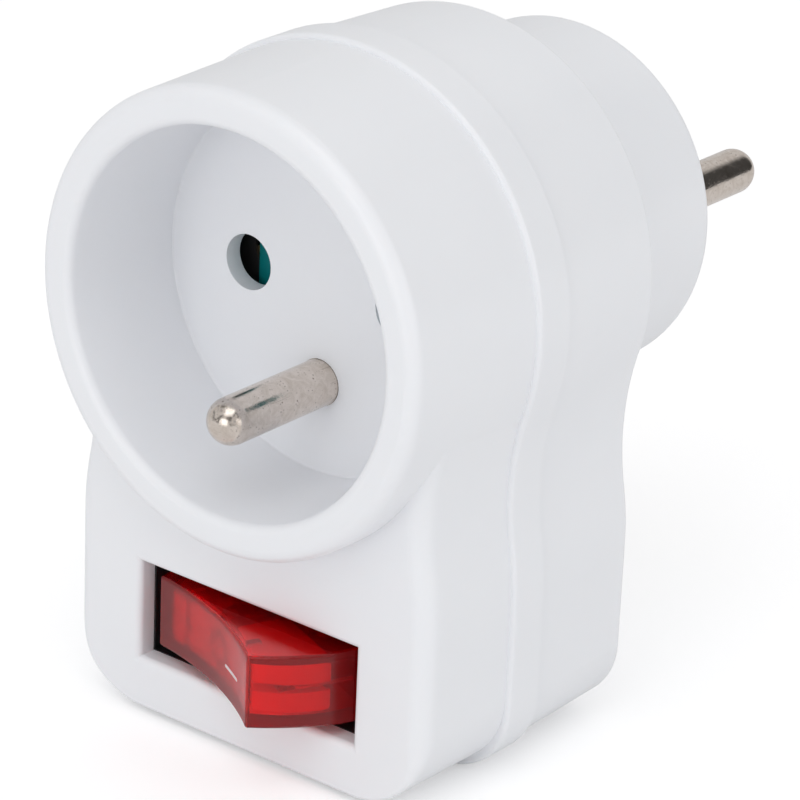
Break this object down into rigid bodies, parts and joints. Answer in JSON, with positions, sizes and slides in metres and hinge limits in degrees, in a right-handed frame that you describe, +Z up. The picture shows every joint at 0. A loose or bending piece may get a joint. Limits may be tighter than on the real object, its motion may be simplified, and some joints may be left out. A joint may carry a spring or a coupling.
{
  "type": "switched socket adapter",
  "caption": "Plug-in socket adapter with a recessed round outlet, an earth pin and a lit rocker switch below it.",
  "frame": {"origin": "centre of the plug's face, midway between the two plug pins", "axes": "+Y along the plug pins towards the wall, +Z up towards the round outlet's top, +X to the right as seen from the outlet's side"},
  "size_m": [0.049, 0.0749, 0.072],
  "materials": {
    "white_abs": "satin gloss, fine moulded skin",
    "carrier_plastic": "matt moulded, black",
    "shutter_plastic": "dark green moulded",
    "black_plastic": "black moulded",
    "red_lens": "see-through red, polished",
    "nickel": "nickel-plated brass",
    "contact_brass": "stamped",
    "spring_steel": "drawn wire",
    "screw_steel": "zinc-plated",
    "lamp_glass": "clear",
    "resistor_body": "lacquered",
    "lead_wire": "tinned"
  },
  "bodies": {
    "casing": {"front_shell": "white_abs", "rear_shell": "white_abs", "case_screws": "screw_steel", "earth_pin": "nickel", "earth_sleeve": "contact_brass", "neutral_pin": "nickel", "line_pin": "nickel", "neutral_contact": "contact_brass", "line_contact": "contact_brass", "contact_carrier": "carrier_plastic", "shutter_spring": "spring_steel", "switch_frame": "black_plastic", "lever_terminal": "contact_brass", "fixed_contact": "contact_brass", "line_strap": "contact_brass", "out_strap": "contact_brass"},
    "rocker_body": {"rocker": "red_lens", "plunger_spring": "spring_steel", "neon_lamp": "lamp_glass", "lamp_resistor": "resistor_body", "lamp_leads": "lead_wire"},
    "plunger_body": {"plunger": "contact_brass"},
    "lever_body": {"contact_lever": "contact_brass"},
    "shutter_body": {"shutter": "shutter_plastic"}
  },
  "joints": [
    {"name": "rocker_tilt", "type": "hinge", "parent": "casing", "child": "rocker_body", "pos_m": [0, -0.0444, -0.0359], "axis": [0, 0, 1], "range_deg": [0, 45.6]},
    {"name": "lever_rock", "type": "hinge", "parent": "casing", "child": "lever_body", "pos_m": [0, -0.0371, -0.0359], "axis": [0, 0, 1], "range_deg": [-16, 0]},
    {"name": "plunger_slide", "type": "slide", "parent": "rocker_body", "child": "plunger_body", "axis": [-0.3875, -0.9219, 0], "range_m": [0, 0.0006], "stiffness_N_per_m": 400, "deforming": ["plunger_spring"]},
    {"name": "shutter_slide", "type": "slide", "parent": "casing", "child": "shutter_body", "axis": [1, 0, 0], "range_m": [0, 0.0059], "stiffness_N_per_m": 60, "springref_m": -0.002, "deforming": ["shutter_spring"]}
  ],
  "couplings": [
    {"joint": "lever_rock", "follows": "rocker_tilt", "ratio": -0.35}
  ]
}
